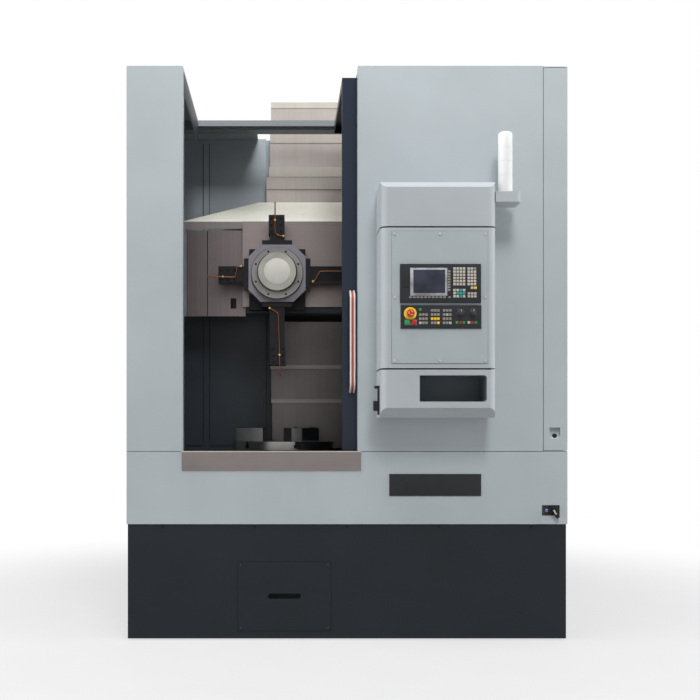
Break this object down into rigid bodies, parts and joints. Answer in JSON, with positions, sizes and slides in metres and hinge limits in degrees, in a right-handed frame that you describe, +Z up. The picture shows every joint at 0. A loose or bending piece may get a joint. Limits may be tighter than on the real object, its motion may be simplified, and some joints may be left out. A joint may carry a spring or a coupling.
{
  "type": "cnc vertical lathe",
  "caption": "Enclosed vertical lathe with a round three-jaw chuck table, a tool turret on a cross slide, a sliding L-shaped door and a front control box.",
  "frame": {"origin": "on the floor under the middle of the whole machine, control box included", "axes": "+X to the operator's right, +Y from the front to the back, +Z up"},
  "size_m": [2.38, 2.412, 3.342],
  "materials": {
    "cast_iron": "painted casting",
    "skirt_paint": "dark grey textured paint",
    "panel_paint": "light grey textured paint",
    "door_paint": "navy paint",
    "inner_paint": "slate paint inside",
    "stainless": "brushed stainless",
    "ground_steel": "ground and turned steel",
    "black_steel": "blackened steel",
    "turret_paint": "lilac-grey paint",
    "black_plastic": "moulded black",
    "bezel_plastic": "dark grey moulded",
    "white_plastic": "white moulded",
    "red_plastic": "red moulded",
    "green_plastic": "green moulded",
    "screen_glass": "dark screen",
    "window_glass": "clear laminated",
    "rubber": "black rubber",
    "copper": "bent copper pipe"
  },
  "bodies": {
    "enclosure": {"base_casting": "cast_iron", "levelling_feet": "black_steel", "base_skirt": "skirt_paint", "access_cover": "skirt_paint", "apron_panel": "panel_paint", "sill_plate": "stainless", "left_side_panel": "panel_paint", "right_front_panel": "panel_paint", "right_side_panel": "panel_paint", "rear_panel": "panel_paint", "roof_crossbar": "panel_paint", "splash_guard": "inner_paint", "chip_pan": "inner_paint", "column": "cast_iron", "fixed_way_covers": "stainless", "spindle_housing": "cast_iron", "drive_motors": "black_steel", "drive_belt": "rubber", "control_cap": "panel_paint", "control_console": "panel_paint", "control_tray": "panel_paint", "control_seals": "rubber", "operator_plate": "panel_paint", "display_unit": "bezel_plastic", "display_screen": "screen_glass", "key_panel": "bezel_plastic", "signal_tower": "white_plastic", "handwheel_hook": "black_plastic", "main_switch_box": "black_plastic"},
    "door": {"sliding_door": "door_paint", "door_window": "window_glass", "door_handle": "white_plastic"},
    "side_door": {"side_door": "panel_paint"},
    "side_lock": {"side_door_lock": "black_steel"},
    "spindle": {"spindle_shaft": "ground_steel", "chuck_body": "ground_steel"},
    "jaw_1": {"chuck_jaw_1": "ground_steel"},
    "jaw_2": {"chuck_jaw_2": "ground_steel"},
    "jaw_3": {"chuck_jaw_3": "ground_steel"},
    "motor": {"motor_pulley": "cast_iron"},
    "saddle": {"saddle": "cast_iron", "saddle_hood": "stainless", "saddle_way_covers": "stainless"},
    "upper_2": {"upper_cover_2": "stainless"},
    "upper_3": {"upper_cover_3": "stainless"},
    "lower_2": {"lower_cover_2": "stainless"},
    "slide": {"cross_slide": "stainless", "cross_covers_outer": "stainless", "turret_housing": "black_steel"},
    "slide_mid": {"cross_covers_middle": "stainless"},
    "turret": {"turret_head": "turret_paint", "turret_hub": "ground_steel", "tool_holders": "black_steel", "coolant_pipes": "copper"},
    "estop": {"estop_button": "red_plastic"},
    "start": {"start_button": "green_plastic"},
    "stop": {"stop_button": "red_plastic"},
    "feed": {"feed_knob": "black_plastic"},
    "speed": {"spindle_knob": "black_plastic"},
    "main_switch": {"main_switch_handle": "black_plastic"}
  },
  "joints": [
    {"name": "door_slide", "type": "slide", "parent": "enclosure", "child": "door", "axis": [1, 0, 0], "range_m": [-0.86, 0]},
    {"name": "side_door_swing", "type": "hinge", "parent": "enclosure", "child": "side_door", "pos_m": [1.18, 0.251, 2], "axis": [0, 0, 1], "range_deg": [0, 100]},
    {"name": "side_lock_turn", "type": "hinge", "parent": "side_door", "child": "side_lock", "pos_m": [1.122, -0.934, 1.103], "axis": [0, -1, 0], "range_deg": [0, 90]},
    {"name": "spindle_spin", "type": "hinge", "parent": "enclosure", "child": "spindle", "pos_m": [-0.345, -0.044, 0.9], "axis": [0, 0, 1], "continuous": true},
    {"name": "motor_spin", "type": "hinge", "parent": "enclosure", "child": "motor", "pos_m": [0.7, -0.044, 0.3], "axis": [0, 0, 1], "continuous": true},
    {"name": "jaw_1_slide", "type": "slide", "parent": "spindle", "child": "jaw_1", "axis": [0.2756, -0.9613, 0], "range_m": [-0.006, 0.006]},
    {"name": "jaw_2_slide", "type": "slide", "parent": "spindle", "child": "jaw_2", "axis": [0.6947, 0.7193, 0], "range_m": [-0.006, 0.006]},
    {"name": "jaw_3_slide", "type": "slide", "parent": "spindle", "child": "jaw_3", "axis": [-0.9703, 0.2419, 0], "range_m": [-0.006, 0.006]},
    {"name": "z_axis", "type": "slide", "parent": "enclosure", "child": "saddle", "axis": [0, 0, 1], "range_m": [-0.3, 0.25]},
    {"name": "upper_2_slide", "type": "slide", "parent": "enclosure", "child": "upper_2", "axis": [0, 0, 1], "range_m": [-0.1001, 0.0834]},
    {"name": "upper_3_slide", "type": "slide", "parent": "enclosure", "child": "upper_3", "axis": [0, 0, 1], "range_m": [-0.2001, 0.1668]},
    {"name": "lower_2_slide", "type": "slide", "parent": "enclosure", "child": "lower_2", "axis": [0, 0, 1], "range_m": [-0.1501, 0.1251]},
    {"name": "x_axis", "type": "slide", "parent": "saddle", "child": "slide", "axis": [1, 0, 0], "range_m": [-0.28, 0.06]},
    {"name": "slide_mid_slide", "type": "slide", "parent": "saddle", "child": "slide_mid", "axis": [1, 0, 0], "range_m": [-0.1401, 0.0301]},
    {"name": "turret_index", "type": "hinge", "parent": "slide", "child": "turret", "pos_m": [-0.383, -0.044, 2.11], "axis": [0, -1, 0], "continuous": true},
    {"name": "estop_push", "type": "slide", "parent": "enclosure", "child": "estop", "axis": [0, 1, 0], "range_m": [0, 0.005]},
    {"name": "start_push", "type": "slide", "parent": "enclosure", "child": "start", "axis": [0, 1, 0], "range_m": [0, 0.003], "stiffness_N_per_m": 800},
    {"name": "stop_push", "type": "slide", "parent": "enclosure", "child": "stop", "axis": [0, 1, 0], "range_m": [0, 0.003], "stiffness_N_per_m": 800},
    {"name": "feed_turn", "type": "hinge", "parent": "enclosure", "child": "feed", "pos_m": [0.571, -1.174, 1.742], "axis": [0, -1, 0], "range_deg": [-135, 135]},
    {"name": "speed_turn", "type": "hinge", "parent": "enclosure", "child": "speed", "pos_m": [0.635, -1.174, 1.742], "axis": [0, -1, 0], "range_deg": [-135, 135]},
    {"name": "main_switch_turn", "type": "hinge", "parent": "enclosure", "child": "main_switch", "pos_m": [1.111, -0.944, 0.7005], "axis": [0, -1, 0], "range_deg": [0, 90]}
  ],
  "couplings": [
    {"joint": "motor_spin", "follows": "spindle_spin", "ratio": 1.5455},
    {"joint": "jaw_2_slide", "follows": "jaw_1_slide", "ratio": 1},
    {"joint": "jaw_3_slide", "follows": "jaw_1_slide", "ratio": 1},
    {"joint": "upper_2_slide", "follows": "z_axis", "ratio": 0.33333},
    {"joint": "upper_3_slide", "follows": "z_axis", "ratio": 0.66667},
    {"joint": "lower_2_slide", "follows": "z_axis", "ratio": 0.5},
    {"joint": "slide_mid_slide", "follows": "x_axis", "ratio": 0.5}
  ]
}
